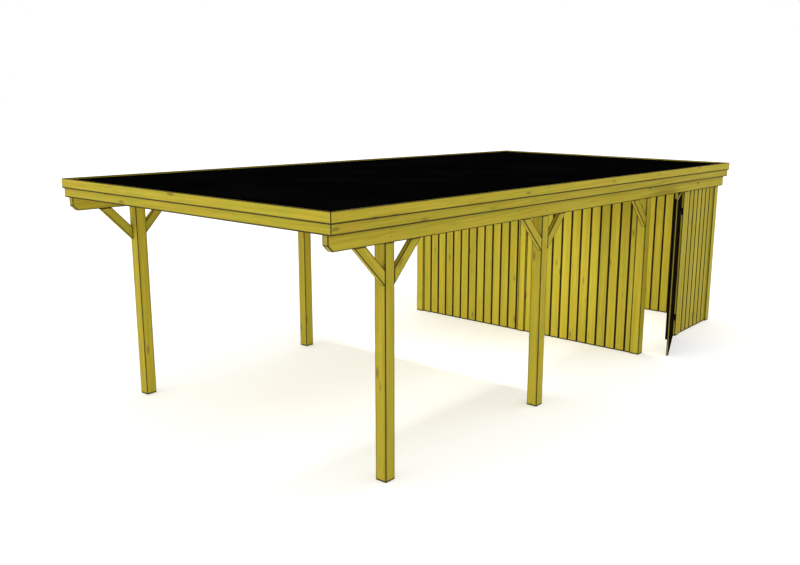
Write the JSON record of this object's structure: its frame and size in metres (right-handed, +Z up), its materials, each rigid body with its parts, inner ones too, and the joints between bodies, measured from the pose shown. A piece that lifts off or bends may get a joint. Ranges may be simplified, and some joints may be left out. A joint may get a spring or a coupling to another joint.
{
  "type": "carport with shed",
  "caption": "Timber carport: posts with knee braces carry a flat roof, and a board-walled shed with a side door closes its rear.",
  "frame": {"origin": "on the ground, at the middle of the foot of the stud in the shed's rear wall, which is on the centreline", "axes": "+X to the right seen from the open front, +Y to the rear along the roof, +Z up"},
  "size_m": [4.0676, 8.166, 2.469],
  "materials": {
    "timber": "pressure-treated sawn pine",
    "edge_boards": "pressure-treated planed pine",
    "wall_boards": "pressure-treated pine boards",
    "door_boards": "pressure-treated pine boards",
    "roof_boards": "pressure-treated tongued boards",
    "roofing": "black roofing felt",
    "hinge_steel": "black powder coat",
    "screws": "yellow zinc"
  },
  "bodies": {
    "carport": {"post_front_left": "timber", "post_front_right": "timber", "post_middle_left": "timber", "post_middle_right": "timber", "post_shed_left": "timber", "post_shed_right": "timber", "post_rear_left": "timber", "post_rear_right": "timber", "door_post": "timber", "front_wall_stud": "timber", "rear_wall_stud": "timber", "beam_left": "timber", "beam_right": "timber", "brace_front_left_fore": "timber", "brace_front_left_aft": "timber", "brace_front_right_fore": "timber", "brace_front_right_aft": "timber", "brace_middle_left_fore": "timber", "brace_middle_left_aft": "timber", "brace_middle_right_fore": "timber", "brace_middle_right_aft": "timber", "brace_shed_left_fore": "timber", "brace_shed_right_fore": "timber", "rafters": "timber", "front_wall_plate": "timber", "rear_wall_plate": "timber", "roof_deck": "roof_boards", "roof_membrane": "roofing", "upper_fascia_front": "edge_boards", "upper_fascia_rear": "edge_boards", "upper_fascia_left": "edge_boards", "upper_fascia_right": "edge_boards", "lower_fascia_front": "edge_boards", "lower_fascia_rear": "edge_boards", "lower_fascia_left": "edge_boards", "lower_fascia_right": "edge_boards", "front_wall_left": "wall_boards", "front_wall_right": "wall_boards", "rear_wall_left": "wall_boards", "rear_wall_right": "wall_boards", "left_wall": "wall_boards", "right_wall": "wall_boards", "door_post_hinges": "hinge_steel"},
    "door": {"door_leaf": "door_boards", "door_stiles": "door_boards", "door_ledges": "door_boards", "door_brace": "door_boards", "door_hinge_straps": "hinge_steel"}
  },
  "joints": [
    {"name": "door_hinge", "type": "hinge", "parent": "carport", "child": "door", "pos_m": [1.825, -1.156, 1], "axis": [0, 0, 1], "range_deg": [-20, 70]}
  ]
}
